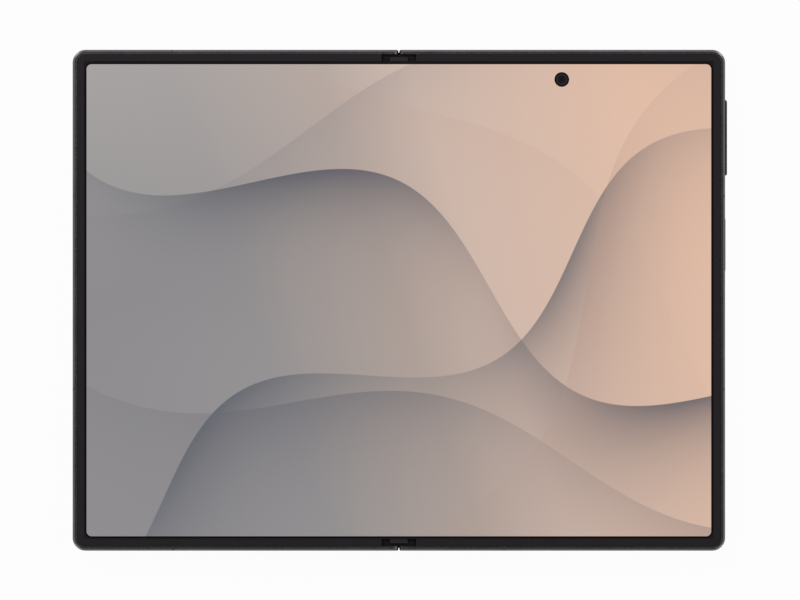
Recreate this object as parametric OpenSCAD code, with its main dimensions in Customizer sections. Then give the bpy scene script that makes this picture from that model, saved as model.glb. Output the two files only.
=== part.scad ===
// A book-type folding phone, lying open on its back.
// X runs across the open phone, Y along the fold and Z out of the inner screen.
// The origin is under the middle of the phone, on the plane that the rear lens rings stand on.
// The main half is at +X. The cover half, with the outer screen, is drawn at +X and mirrored.

/* [Body] */
// Width of the open phone, edge to edge
open_w = 161.4; // [158:0.2:170]
// Height of the phone, along the fold
body_h = 123.9; // [120:0.1:132]
// Thickness of each half, from its back glass to its bezel
half_t = 4.85; // [4.8:0.05:5.3]
// Radius of the four outer corners
corner_r = 3.2; // [3:0.1:5]
// Gap between the two bezels when the phone is shut
fold_gap = 0.1; // [0.06:0.02:0.2]
// Distance of each half's hinge edge from the middle plane
seam = 0.1; // [0.08:0.02:0.2]
// Radius in plan of the frame corners beside the fold
notch_r = 0.45; // [0.2:0.05:1]

/* [Frame] */
// Width of the metal edge around the bezel
rail_t = 1.1; // [1:0.05:1.15]
// How far the metal edge lies below the bezel
rail_drop = 0.1; // [0.05:0.05:0.2]
// Bright chamfer beside the screen
front_chamfer = 0.5; // [0.3:0.05:0.6]
// Chamfer around the back
back_chamfer = 0.4; // [0.2:0.05:0.6]
// Thickness of the mid plate that carries the screen and the boards
deck_t = 0.5; // [0.4:0.05:0.6]
// Thickness of the ledge that the back glass is bonded to
ledge_t = 0.6; // [0.4:0.05:0.8]
// Width of the plastic antenna breaks
band_w = 0.6; // [0.4:0.1:1.2]

/* [Glass] */
// Thickness of the back glass and of the outer screen's glass
glass_t = 0.55; // [0.4:0.05:0.6]
// Metal left visible around each glass
glass_inset = 0.9; // [0.8:0.05:1]
// Radius of the outer screen's camera hole in the panel
cover_hole_r = 2.1; // [1.8:0.1:2.6]

/* [Inner screen] */
// Thickness of the folding display
display_t = 0.5; // [0.4:0.05:0.55]
// Thickness of the metal plate under the display
plate_t = 0.2; // [0.1:0.05:0.25]
// Width of the plastic bezel, from the metal edge inwards
bezel_w = 1.75; // [1.5:0.05:2.5]
// Thickness of the bezel's lip over the edge of the display
lip_t = 0.13; // [0.1:0.01:0.2]
// Half of the width of the zone that folds
fold_zone = 4.95; // [4.95:0.05:6]
// Radius of the camera hole in the inner display
punch_r = 1.83; // [1.5:0.01:2.5]
// Distance of the camera hole from the middle plane
punch_x = 40.3; // [30:0.1:60]
// Distance of the camera hole from the top edge
punch_y = 7.35; // [6.5:0.05:9]

/* [Hinge] */
// Distance of each fold axis from the middle plane
axis_x = 1.3; // [1.3:0.01:1.4]
// Outer radius of the spine cover about each fold axis
spine_r = 2.8; // [2.75:0.01:2.85]
// Wall of the spine cover
spine_wall = 0.45; // [0.35:0.05:0.5]
// Running gap between the spine cover and the two halves
hinge_gap = 0.1; // [0.06:0.01:0.14]
// Thickness of the hinge wings
wing_t = 0.7; // [0.6:0.05:0.8]
// Inner radius of the curved rail on each wing
arc_ri = 1.45; // [1.4:0.01:1.5]
// Outer radius of the curved rail on each wing
arc_ro = 2; // [1.9:0.01:2]
// Running clearance of the curved rails in their grooves
arc_gap = 0.03; // [0.02:0.01:0.04]
// Length of each hinge module along the fold
module_l = 24; // [22:0.5:26]
// Distance of each module's far end from the end of the phone
module_inset = 7.95; // [5:0.05:9]

/* [Sync gears] */
// Tooth module of the gears that keep the halves level
gear_m = 0.15; // [0.148:0.001:0.152]
// Teeth of the sector gear on each wing
sector_n = 15; // [15:1:15]
// Teeth of each idler gear
idler_n = 8; // [8:1:8]
// Thickness taken off each tooth for backlash
tooth_play = 0.02; // [0.01:0.005:0.03]
// Width of the gears
gear_w = 1.8; // [1.4:0.1:2]
// Radius of the idlers' journals
journal_r = 0.25; // [0.2:0.01:0.28]

/* [Keys] */
// Height of the keys, across the edge of the phone
key_h = 1.7; // [1.4:0.1:2]
// Length of the volume key
volume_l = 18.9; // [15:0.1:22]
// Distance of the volume key's middle from the top edge
volume_drop = 21.7; // [20:0.05:24]
// How far the volume key stands proud
volume_proud = 0.56; // [0.3:0.02:0.8]
// Length of the side key
side_l = 13.4; // [10:0.1:15]
// Distance of the side key's middle from the top edge
side_drop = 48.25; // [46:0.05:52]
// How far the side key stands proud
side_proud = 0.18; // [0.16:0.02:0.4]
// Travel of the keys
key_travel = 0.15; // [0.1:0.01:0.18]
// Clearance around the keys
key_gap = 0.1; // [0.06:0.01:0.15]

/* [Rear cameras] */
// Width of the camera island
island_w = 17; // [16:0.1:19]
// Length of the camera island
island_l = 36; // [34:0.1:40]
// Height of the island above the back glass
island_t = 1.5; // [1:0.1:2]
// Distance of the island from the phone's edges
island_margin = 4.5; // [4:0.1:8]
// Outer radius of the lens rings
ring_r = 6.6; // [6:0.1:7.2]
// How far the lens rings stand above the island
ring_proud = 0.4; // [0.2:0.1:0.8]
// Distance between the two lenses
lens_pitch = 18.4; // [17:0.1:20]
// Radius of the flash lens
flash_r = 1.6; // [1.2:0.1:2]

/* [Ports] */
// Width of the charging port's opening
port_w = 8.4; // [8.3:0.05:8.6]
// Height of the charging port's opening
port_h = 2.6; // [2.5:0.05:2.7]
// Radius of the speaker holes
hole_r = 0.55; // [0.3:0.05:0.6]
// Distance between speaker holes
hole_pitch = 2.2; // [1.6:0.1:2.6]
// Length of the card tray
tray_l = 17; // [15:0.5:19]
// Width of the card tray
tray_w = 10.4; // [9.5:0.1:12]
// Distance of the card tray's middle from the phone's side
tray_inset = 34.7; // [32.5:0.1:38]

/* [Inside] */
// Distance of the batteries from the middle plane
cell_x = 18; // [17:0.5:22]
// Gap between parts bonded or stacked inside
bond = 0.05; // [0.02:0.01:0.08]
// Thickness of the circuit boards
board_t = 0.6; // [0.5:0.05:0.8]
// Gap between the boards and the mid plate
board_gap = 0.45; // [0.35:0.05:0.6]
// Radius of the small screws' shanks
screw_r = 0.5; // [0.4:0.05:0.6]
// Radius of the small screws' heads
head_r = 0.95; // [0.8:0.05:1.1]
// Thickness of the small screws' heads
head_t = 0.4; // [0.3:0.05:0.5]

/* [Hidden] */
$fn = 48;
half_w = open_w / 2;
half_h = body_h / 2;
eps = 0.01;

// Levels, from the back upwards
z_back = island_t + ring_proud;
z_seat = z_back + glass_t + bond;
z_ledge = z_seat + ledge_t;
z_top = z_back + half_t;
z_lip = z_top - lip_t;
z_display = z_lip - 0.02 - display_t;
z_plate = z_display - plate_t;
z_deck = z_plate - deck_t;
z_rail = z_top - rail_drop;
z_board = z_deck - board_gap - board_t;
z_axis = z_top + fold_gap / 2 - axis_x;
z_port = z_back + 2.25;

// Insets from the outline of a half
glass_u = glass_inset - bond;
wall_u = rail_t + 0.1;
ledge_u = rail_t + 1.5;
shelf_u = corner_r - 0.4;
bezel_u = rail_t + 0.05;
panel_u = bezel_u + 1.05;
lip_u = rail_t + bezel_w;
cavity_u = ledge_u + 0.1;

// Hinge
pocket_r = spine_r + hinge_gap;
spine_ri = spine_r - spine_wall;
base_r = spine_ri - bond;
spine_h = half_h - rail_t - bond;
wing_drop = 0.3;
z_wing = z_axis - wing_drop - wing_t;
z_rim = z_wing - 0.1;
z_block_rim = z_wing - 0.2;
z_block = z_plate - bond;
z_floor = z_axis - spine_r + spine_wall / 2;
wall_x = fold_zone - 0.05;
wall_t = 0.6;
flange_x = wall_x + wall_t + 0.1;
flange_w = 4.2;
glass_x = 3.8;
bezel_x = 4.25;
cap_y = half_h - lip_u;
cap_pad = [4.4, 1];
pad_drop = 0.25;
module_y = half_h - module_inset - module_l;
groove_l = 3.5;
bearing_t = 2;
pocket_l = gear_w + 0.8;
arm_l = 2.3;
pocket_y = module_y + groove_l + bearing_t;
far_y = module_y + module_l - groove_l;
base_screws_y = [pocket_y + pocket_l + bearing_t + 3, far_y - 3];
wing_screws_y = [module_y + 5, module_y + module_l / 2, module_y + module_l - 5];
arm_in = 0.8;
arm_ys = [module_y + arm_in, far_y + 0.4];
gear_y = pocket_y + 0.4;
journal_ys = [pocket_y - bearing_t + 0.3, pocket_y + pocket_l + bearing_t - 0.3];
flange_y = [module_y + arm_in, module_y + module_l - arm_in];
// Ends of the spine cover, in slots of the frames' end walls
end_wall = 0.45;
spine_end = half_h - end_wall - hinge_gap;

// Sync gears
pressure = 30;
addendum = 0.78 * gear_m;
dedendum = 0.95 * gear_m;
sector_r = gear_m * sector_n / 2;
idler_r = gear_m * idler_n / 2;
z_idler = z_axis - sqrt(pow(sector_r + idler_r, 2) - pow(axis_x - idler_r, 2));
mesh_angle = acos((axis_x - idler_r) / (sector_r + idler_r));
idler_step = 360 / idler_n;
idler_turns = [0, idler_step / 2];
// Angle from the line of mesh to the nearest idler tooth, for the main and the cover side
tooth_off = [
    round(mesh_angle / idler_step) * idler_step - mesh_angle,
    (floor(mesh_angle / idler_step) + 0.5) * idler_step - mesh_angle
];

// Rear cameras
island_x = half_w - island_margin - island_w / 2;
island_y = half_h - island_margin - island_l / 2;
island_wall = 1.2;
island_edge = 0.3;
island_top = 0.8;
lens_ys = [island_y - lens_pitch / 2, island_y + lens_pitch / 2];
lens_seat_r = ring_r - 0.9;
lens_r = lens_seat_r - 0.6;

// Inside the main half
port_x = half_w / 2;
volume_y = half_h - volume_drop;
side_y = half_h - side_drop;
strip_y = -half_h + 13.4;
edge_y = half_h - cavity_u;
edge_x = half_w - cavity_u;
key_x = half_w - wall_u;
key_rib_x = key_x - 1.65;
board_y = island_y - island_l / 2 - 9.5;
battery_h = board_y - 3.5 - strip_y;
cover_cell_y = [-half_h + 33, half_h - 21];
board_x = 12;
cell_z = z_ledge - 0.25;
flex_z = z_board + board_t + 0.1;
flex_y = [module_y - 13, module_y - 3];
module_w = 11.5;
notch_x = island_x - module_w / 2 - 1.5;

// Ports and openings of the rails
usb_wall = 0.2;
usb_l = 7.4;
usb_out = port_w + 2 * usb_wall + 0.2;
tongue = [6.7, 0.7];
port_board_w = 23;
speaker_edges = [port_x + port_board_w / 2 + 2, edge_x - 3.5];
speaker_x = (speaker_edges[0] + speaker_edges[1]) / 2;
mic_x = port_x - port_board_w / 2;
ear_x = half_w - 18.7;
speaker_n = 6;
ear_n = 4;
ear_size = [18, 9];
mic_r = 0.8 * hole_r;
tray_x = half_w - tray_inset;
tray_h = 0.8;
tray_head_h = 1.9;
tray_head_t = 0.9;
z_tray = z_back + 2.35;
tray_slot_w = tray_w + 2.2;
eject_r = 0.45;
front_camera_w = 6.5;
panel_t = 0.9;
panel_top = z_seat + panel_t + bond;
cam2_x = half_w - 38.7;
cam2_y = half_h - 9;

// Antenna breaks: x along the top and the bottom of each half, and y along its side
main_bands = [half_w - 24.6, 26];
cover_bands = [half_w - 24.6, half_w - 24.9];
side_bands = [half_h - 36.2, 40.05 - half_h];

color_frame = "#3c3b3f";
color_bezel = "#28272a";
color_metal = "#8c8e92";
color_dark = "#17171a";
color_board = "#1d4a3a";
color_gold = "#b08d4a";

// ---- Shared shapes ----

// Both signs of Y
module both_ends() {
    for (s = [0, 1]) mirror([0, s, 0]) children();
}

// The cover half is the mirror image of what is drawn at +X
module cover_side() {
    mirror([1, 0, 0]) children();
}

// An (x, z) outline run along the fold from y0 to y1
module along_y(y0, y1) {
    translate([0, y1, 0]) rotate([90, 0, 0]) linear_extrude(y1 - y0) children();
}

// Plan outline of a half at an inset from its edges, from x0 outwards
module half_outline(inset, x0) {
    r = max(corner_r - inset, 0.3);
    w = half_w - inset;
    h = half_h - inset;
    difference() {
        translate([x0, -h]) square([w - x0, 2 * h]);
        for (s = [0, 1]) mirror([0, s]) translate([w - r, h - r]) difference() {
            square(r + 1);
            circle(r);
        }
    }
}

// A plate in the shape of a half
module half_plate(inset, x0, z0, t) {
    translate([0, 0, z0]) linear_extrude(t) half_outline(inset, x0);
}

// A rounded rectangle, centred
module rounded(w, h, r) {
    difference() {
        square([w, h], center = true);
        for (a = [0, 1], b = [0, 1]) mirror([a, 0]) mirror([0, b])
            translate([w / 2 - r, h / 2 - r]) difference() {
                square(r + 1);
                circle(r);
            }
    }
}

// A pill, longest along its height
module pill(w, h) {
    square([w, h - w], center = true);
    for (s = [-1, 1]) translate([0, s * (h - w) / 2]) circle(w / 2);
}

// A box from a corner, with rounded upright edges
module rounded_box(p, size, r) {
    translate([p[0] + size[0] / 2, p[1] + size[1] / 2, p[2]])
        linear_extrude(size[2]) rounded(size[0], size[1], r);
}

// A round bar along Y
module bar_y(x, z, r, y0, y1) {
    translate([x, y1, z]) rotate([90, 0, 0]) cylinder(r = r, h = y1 - y0);
}

// ---- Frames ----

// Section of the metal edge: X is the distance in from the outline, Y is the height
module rail_section() {
    polygon([
        [0, z_back + back_chamfer], [0, z_rail - front_chamfer], [front_chamfer, z_rail],
        [rail_t, z_rail], [rail_t, z_plate], [shelf_u, z_plate], [shelf_u, z_deck],
        [wall_u, z_deck], [wall_u, z_ledge], [ledge_u, z_ledge], [ledge_u, z_seat],
        [glass_u, z_seat], [glass_u, z_back], [back_chamfer, z_back]
    ]);
}

// The metal edge around three sides of a half
module rail() {
    both_ends() {
        translate([seam, half_h, 0]) rotate([90, 0, 90])
            linear_extrude(half_w - corner_r - seam) mirror([1, 0]) rail_section();
        translate([half_w - corner_r, half_h - corner_r, 0])
            rotate_extrude(angle = 90) translate([corner_r, 0]) mirror([1, 0]) rail_section();
    }
    translate([half_w, half_h - corner_r, 0]) rotate([90, 0, 0])
        linear_extrude(body_h - 2 * corner_r) mirror([1, 0]) rail_section();
}

// The wall beside the hinge, with the lip that runs under the spine, as an (x, z) outline
module hinge_wall_outline() {
    sill = z_wing - bond;
    difference() {
        polygon([
            [seam, z_back], [glass_x - bond, z_back], [glass_x - bond, z_seat],
            [wall_x + wall_t + 0.5, z_seat], [wall_x + wall_t + 0.5, z_ledge],
            [wall_x + wall_t, z_ledge], [wall_x + wall_t, z_deck + eps], [wall_x, z_deck + eps],
            [wall_x, sill], [seam, sill]
        ]);
        translate([axis_x, z_axis]) circle(pocket_r);
        translate([-1, z_axis - pocket_r]) square([axis_x + 1, half_t]);
    }
}

// What keeps the corners of the two halves from meeting as they fold
module hinge_corner_cut() {
    r = axis_x - seam;
    both_ends() along_y(half_h - rail_t - 1, half_h + 1) translate([axis_x, z_axis])
        difference() {
            translate([-axis_x - 1, 0]) square([axis_x + 1, axis_x + 1]);
            circle(r);
        }
    both_ends() translate([seam + notch_r, half_h - notch_r, z_back - 1])
        linear_extrude(half_t + 2) difference() {
            translate([-notch_r - 1, 0]) square([notch_r + 1, notch_r + 1]);
            circle(notch_r);
        }
}

// Slots in the end walls for the ends of the spine cover
module spine_end_slots() {
    both_ends() along_y(half_h - rail_t - eps, half_h - end_wall) difference() {
        between(z_back - 1, z_wing) spine_outline(pocket_r);
        translate([axis_x, z_axis]) circle(spine_ri - hinge_gap);
    }
}

// Windows in the hinge wall for the wings' arms and the flexible cables
module wall_windows() {
    arms = [[arm_ys[0], arm_l], [gear_y, gear_w], [arm_ys[1], arm_l]];
    both_ends() for (a = arms)
        translate([wall_x - 1, a[0] - 0.3, z_wing - bond])
            cube([wall_t + 2, a[1] + 0.6, z_deck - z_wing + bond]);
    both_ends() translate([wall_x - 1, flex_y[0] - 0.5, z_wing + 0.3])
        cube([wall_t + 2, flex_y[1] - flex_y[0] + 1, z_deck - z_wing - 0.3]);
}

// Pads under the mid plate that a wing is screwed to
module wing_pads() {
    both_ends() for (y = wing_screws_y) translate([flange_x + flange_w / 2, y, z_wing + wing_t])
        cylinder(r = 1.6, h = z_deck - z_wing - wing_t + eps);
}

// Blind holes for the wing screws
module wing_screw_holes() {
    both_ends() for (y = wing_screws_y) translate([flange_x + flange_w / 2, y, z_deck - 1])
        cylinder(r = screw_r + bond / 2, h = 1 + deck_t - 0.1);
}

// Posts under the mid plate that carry a board at the points given
module board_posts(points) {
    for (p = points) translate([p[0], p[1], z_board + board_t])
        cylinder(r = 1.3, h = board_gap + eps);
}

// Blind holes for the board screws
module board_holes(points) {
    for (p = points) translate([p[0], p[1], z_board])
        cylinder(r = screw_r + bond / 2, h = board_t + board_gap + deck_t - 0.15);
}

// Screws with their heads towards the back, at the points given, under a plate at height z
module screws(points, z, shank) {
    for (p = points) translate([p[0], p[1], z]) difference() {
        union() {
            translate([0, 0, -head_t]) cylinder(r = head_r, h = head_t);
            cylinder(r = screw_r, h = shank);
        }
        translate([0, 0, -head_t - eps]) cylinder(r = head_r * 0.5, h = head_t * 0.6, $fn = 6);
    }
}

// Everything that the two frames have in common
module half_frame(posts) {
    difference() {
        union() {
            difference() {
                rail();
                translate([-1, -half_h + rail_t, z_back - 1])
                    cube([wall_x + 1, body_h - 2 * rail_t, half_t + 2]);
            }
            half_plate(shelf_u - 0.6, wall_x, z_deck, deck_t);
            along_y(-half_h + rail_t - eps, half_h - rail_t + eps) hinge_wall_outline();
            wing_pads();
            board_posts(posts);
        }
        hinge_corner_cut();
        spine_end_slots();
        wall_windows();
        wing_screw_holes();
        board_holes(posts);
    }
}

// Slots through the rail for antenna breaks, at an x on the top and on the bottom, and on the outer side
module band_slots(ends) {
    translate([ends[0] - band_w / 2, half_h - wall_u + eps, z_back - 1])
        cube([band_w, wall_u + 1, half_t + 2]);
    translate([ends[1] - band_w / 2, -half_h - 1, z_back - 1])
        cube([band_w, wall_u + 1 - eps, half_t + 2]);
    for (y = side_bands) translate([half_w - wall_u + eps, y - band_w / 2, z_back - 1])
        cube([wall_u + 1, band_w, half_t + 2]);
}

// A slot with round ends through the right-hand rail
module key_slot(y, l) {
    translate([half_w - wall_u - 1, y, z_port]) rotate([0, 90, 0])
        linear_extrude(wall_u + 2) pill(key_h + 2 * key_gap, l + 2 * key_gap);
}

// Holes through the bottom rail (s = -1) or the top rail (s = 1)
module rail_hole(x, s, r) {
    translate([x, s > 0 ? half_h + 1 : -half_h + wall_u + 1, z_port]) rotate([90, 0, 0])
        cylinder(r = r, h = wall_u + 2);
}

// A row of n holes about x through the bottom or the top rail
module hole_row(x, n, s) {
    for (i = [0:n - 1]) rail_hole(x + (i - (n - 1) / 2) * hole_pitch, s, hole_r);
}

main_posts = [[board_x + 2.2, board_y + 2.2], [board_x + 2.2, edge_y - 2.2],
              [notch_x - 3, edge_y - 2.2], [edge_x - 4.5, board_y + 2.2]];
port_posts = [[port_x - 9, strip_y - 5], [port_x + 9, strip_y - 5]];
cover_posts = [for (x = [cell_x + 2, tray_x - 14, edge_x - 3]) [x, strip_y + 7]];

module main_frame() {
    color(color_frame) difference() {
        union() {
            half_frame(concat(main_posts, port_posts));
            // Rib that the keys' switches press against
            translate([key_rib_x, side_y - side_l / 2, z_ledge + 0.1])
                cube([0.5, volume_y + volume_l / 2 - side_y + side_l / 2, z_deck - z_ledge]);
        }
        key_slot(volume_y, volume_l);
        key_slot(side_y, side_l);
        // The port's mouth, and the recess in the mid plate over its shell
        translate([port_x, -half_h + wall_u + 1, z_port]) rotate([90, 0, 0])
            linear_extrude(wall_u + 2) pill_wide(port_w, port_h);
        translate([port_x - usb_out / 2, -half_h + wall_u, z_port - port_h / 2 - usb_wall - bond])
            cube([usb_out, usb_l + 0.2, port_h + 2 * usb_wall + 2 * bond]);
        hole_row(speaker_x, speaker_n, -1);
        rail_hole(mic_x, -1, mic_r);
        rail_hole(mic_x, 1, mic_r);
        // Window for the inner camera
        translate([punch_x, half_h - punch_y, z_deck - 1]) cylinder(r = punch_r + 0.6, h = deck_t + 2);
        band_slots(main_bands);
    }
}

// A slot with round ends, longest along its width
module pill_wide(w, h) {
    rotate(90) pill(h, w);
}

module cover_frame() {
    color(color_frame) cover_side() difference() {
        half_frame(cover_posts);
        // Mouth of the card tray
        translate([tray_x, -half_h + wall_u + 1, z_tray]) rotate([90, 0, 0])
            linear_extrude(wall_u + 2) pill_wide(tray_slot_w + 0.1, tray_head_h + 0.1);
        hole_row(ear_x, ear_n, 1);
        rail_hole(mic_x, -1, mic_r);
        band_slots(cover_bands);
    }
}

module antenna_bands_main() {
    color("#202022") intersection() {
        rail();
        band_slots(main_bands);
    }
}

module antenna_bands_cover() {
    color("#202022") cover_side() intersection() {
        rail();
        band_slots(cover_bands);
    }
}

// ---- Back ----

module island_outline(grow) {
    translate([island_x, island_y]) pill(island_w + 2 * grow, island_l + 2 * grow);
}

module main_back_glass() {
    color("#2b2b30") difference() {
        half_plate(glass_inset, glass_x, z_back, glass_t);
        translate([0, 0, z_back - 1]) linear_extrude(glass_t + 2) island_outline(bond);
    }
}

module cover_glass() {
    color("#0b0b0d", 0.9) cover_side() half_plate(glass_inset, glass_x, z_back, glass_t);
}

module camera_island() {
    z0 = ring_proud;
    color(color_frame) difference() {
        union() {
            translate([0, 0, z0 + island_edge]) linear_extrude(z_seat - z0 - island_edge) island_outline(0);
            translate([0, 0, z0]) linear_extrude(island_edge) island_outline(-island_edge);
            // Flange bonded to the inside of the glass
            translate([0, 0, z_seat]) linear_extrude(island_edge) island_outline(0.8);
        }
        translate([0, 0, z0 + island_top]) linear_extrude(island_t + 2) island_outline(-island_wall);
        for (y = lens_ys) translate([island_x, y, z0 - 1])
            cylinder(r = lens_seat_r + bond, h = island_top + 2);
        translate([island_x, island_y, z0 - 1]) cylinder(r = flash_r + bond, h = island_top + 2);
    }
}

module camera_lens_rings() {
    color(color_metal) for (y = lens_ys) translate([island_x, y, 0]) rotate_extrude()
        polygon([
            [lens_r + bond, 0.5], [lens_seat_r - 0.2, 0.1], [lens_seat_r, 0], [ring_r - 0.2, 0],
            [ring_r, 0.2], [ring_r, ring_proud - 0.02], [lens_seat_r, ring_proud - 0.02],
            [lens_seat_r, ring_proud + island_top], [lens_r + bond, ring_proud + island_top]
        ]);
}

module camera_lens_glasses() {
    color("#101018") for (y = lens_ys) translate([island_x, y, 0.55]) {
        cylinder(r = lens_r, h = 0.6);
        translate([0, 0, 0.6]) difference() {
            cylinder(r = lens_r - 0.6, h = 0.2);
            translate([0, 0, -1]) cylinder(r = 3.2, h = 2);
        }
    }
}

module flash_lens() {
    color("#e8e2c8") translate([island_x, island_y, ring_proud]) {
        translate([0, 0, 0.1]) cylinder(r = flash_r, h = island_top - 0.1);
        translate([0, 0, island_top + bond]) cylinder(r = flash_r + 0.6, h = 0.5);
        cylinder(r = flash_r * 0.6, h = island_top + 2 * bond);
    }
}

module rear_camera_modules() {
    z0 = ring_proud + island_top + 0.3;
    color("#222226") for (y = lens_ys) translate([island_x, y, 0]) {
        translate([0, 0, z0]) difference() {
            cylinder(r = lens_r - 0.4, h = z_seat + 0.5 - z0);
            translate([0, 0, -eps]) cylinder(r1 = 3.4, r2 = 1.6, h = 0.8);
        }
        translate([0, 0, z_seat + 0.4]) linear_extrude(z_deck - bond - z_seat - 0.4)
            rounded(module_w, module_w, 0.8);
    }
}

// ---- Inner screen ----

module bezel() {
    step = 0.08;
    difference() {
        union() {
            half_plate(bezel_u, bezel_x, z_plate, z_top - z_plate - step);
            half_plate(bezel_u + step, bezel_x, z_top - step - eps, step + eps);
        }
        half_plate(panel_u - bond, 0, z_plate - 1, z_lip - z_plate + 1);
        half_plate(lip_u, 0, z_plate - 1, half_t);
    }
}

module main_bezel() {
    color(color_bezel) bezel();
}

module cover_bezel() {
    color(color_bezel) cover_side() bezel();
}

module punch(r) {
    translate([punch_x, half_h - punch_y, z_plate - 1]) cylinder(r = r, h = 3);
}

module display_main() {
    color("#caa993") difference() {
        half_plate(panel_u, fold_zone + bond, z_display, display_t);
        punch(punch_r);
    }
}

module display_cover() {
    color("#8d8f94") cover_side() half_plate(panel_u, fold_zone + bond, z_display, display_t);
}

module display_plate_main() {
    color(color_metal) difference() {
        half_plate(panel_u + 0.4, fold_zone + bond, z_plate, plate_t);
        punch(punch_r + 0.2);
    }
}

module display_plate_cover() {
    color(color_metal) cover_side() half_plate(panel_u + 0.4, fold_zone + bond, z_plate, plate_t);
}

module inner_camera() {
    color("#141416") translate([punch_x, half_h - punch_y, 0]) {
        translate([0, 0, z_board + board_t + 0.1]) linear_extrude(z_deck - z_board - board_t - 0.1)
            rounded(front_camera_w, front_camera_w, 0.6);
        translate([0, 0, z_deck - eps]) difference() {
            cylinder(r = punch_r - 0.1, h = z_display - z_deck + 0.2);
            translate([0, 0, z_display - z_deck - 0.2]) cylinder(r1 = 0.5, r2 = 1.1, h = 0.6);
        }
    }
}

module inner_camera_glass() {
    color("#0a0a10") translate([punch_x, half_h - punch_y, z_display + 0.25])
        cylinder(r = punch_r - bond, h = display_t - 0.28);
}

// The strip of display that folds, narrowed beside the two end caps
module fold_outline(w, h) {
    difference() {
        square([2 * w, 2 * h], center = true);
        both_ends() translate([-bezel_x - bond, cap_y - bond])
            square([2 * (bezel_x + bond), rail_t + bezel_w]);
    }
}

module display_fold() {
    color("#aa9c94") translate([0, 0, z_display]) linear_extrude(display_t)
        fold_outline(fold_zone, half_h - panel_u);
}

// Thin plate under the fold, slit in a brick pattern so that it bends
module lattice_plate() {
    rows = 16;
    slit_x = 0.9;
    slit_w = 0.3;
    pitch = 2 * (cap_y - 1) / rows;
    color(color_metal) translate([0, 0, z_plate]) linear_extrude(plate_t) difference() {
        fold_outline(fold_zone, half_h - panel_u - 0.4);
        for (c = [-4:4], r = [0:rows - 1])
            if (abs(c) % 2 == 0 || r < rows - 1)
                translate([c * slit_x, -cap_y + 1 + (r + (abs(c) % 2 == 0 ? 0.5 : 1)) * pitch])
                    pill(slit_w, pitch * 0.8);
    }
}

// ---- Hinge ----

// The spine's outline about its two axes, as an (x, z) outline of the radius given
module spine_outline(r) {
    for (s = [-1, 1]) translate([s * axis_x, z_axis]) circle(r);
    translate([-axis_x, z_axis - r]) square([2 * axis_x, 2 * r]);
}

// Everything of an (x, z) outline between two heights
module between(z0, z1) {
    intersection() {
        children();
        translate([-20, z0]) square([40, z1 - z0]);
    }
}

module spine_shell() {
    color(color_frame) difference() {
        along_y(-spine_end, spine_end) difference() {
            between(z_back, z_rim) spine_outline(spine_r);
            spine_outline(spine_ri);
        }
        // Blind holes for the screws of the hinge bases
        both_ends() for (y = base_screws_y) translate([0, y, z_floor])
            cylinder(r = screw_r * 0.8 + bond / 2, h = spine_wall);
    }
}

// The two curved grooves, open at their right-hand ends
module groove_outline() {
    far = arc_ro + 2;
    for (s = [0, 1]) mirror([s, 0]) translate([axis_x, z_axis]) difference() {
        circle(arc_ro + arc_gap);
        circle(arc_ri - arc_gap);
        // Closed end of the groove
        polygon([[0, 0], far * [cos(-128), sin(-128)], [-far, -far], [-far, far], [0, far]]);
    }
}

// Space that the gears and the wings' gear arms turn in
module gear_space_outline() {
    for (s = [-1, 1]) {
        translate([s * axis_x, z_axis]) circle(sector_r + addendum + 0.12);
        translate([s * idler_r, z_idler]) circle(idler_r + addendum + 0.08);
    }
    translate([-idler_r, z_idler]) square([2 * idler_r, z_axis - z_idler]);
    translate([-10, z_block_rim]) square([20, 10]);
}

module hinge_base() {
    difference() {
        along_y(module_y, module_y + module_l) between(0, z_block) spine_outline(base_r);
        // Grooves, with only their cores standing above the rim
        for (y = [module_y - 1, far_y]) along_y(y, y + groove_l + 1) {
            groove_outline();
            difference() {
                between(z_block_rim, z_top) square([20, 40], center = true);
                for (s = [-1, 1]) translate([s * axis_x, z_axis]) circle(arc_ri - arc_gap);
                translate([-axis_x / 2, 0]) square([axis_x, z_top]);
            }
        }
        along_y(pocket_y, pocket_y + pocket_l) gear_space_outline();
        for (s = [-1, 1])
            bar_y(s * idler_r, z_idler, journal_r + 0.02, journal_ys[0], journal_ys[1]);
        for (y = base_screws_y) {
            translate([0, y, z_axis - 1]) cylinder(r = head_r + 0.1, h = 3);
            translate([0, y, 0]) cylinder(r = screw_r * 0.8 + bond / 2, h = z_top);
        }
        base_waist();
    }
}

// Cuts that lighten both sides of a base between its screws
module base_waist() {
    y0 = base_screws_y[0] - 1;
    y1 = base_screws_y[1] + 1;
    for (s = [0, 1]) mirror([s, 0, 0]) translate([base_r, y0, z_block_rim])
        cube([axis_x + 1, y1 - y0, half_t]);
}

module hinge_bases() {
    color("#6f7277") both_ends() hinge_base();
}

module base_screws() {
    color(color_metal) both_ends() for (y = base_screws_y) translate([0, y, 0]) {
        translate([0, 0, z_axis - 1 + bond]) difference() {
            cylinder(r = head_r, h = head_t);
            translate([0, 0, head_t * 0.4]) cylinder(r = head_r * 0.5, h = head_t, $fn = 6);
        }
        translate([0, 0, z_floor + bond])
            cylinder(r = screw_r * 0.8, h = z_axis - 1 + bond - z_floor);
    }
}

// Involute gears
function inv_deg(a) = tan(a) * 180 / PI - a;
function flank_deg(r, rb, half) = half + inv_deg(pressure) - (r > rb ? inv_deg(acos(rb / r)) : 0);

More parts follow.
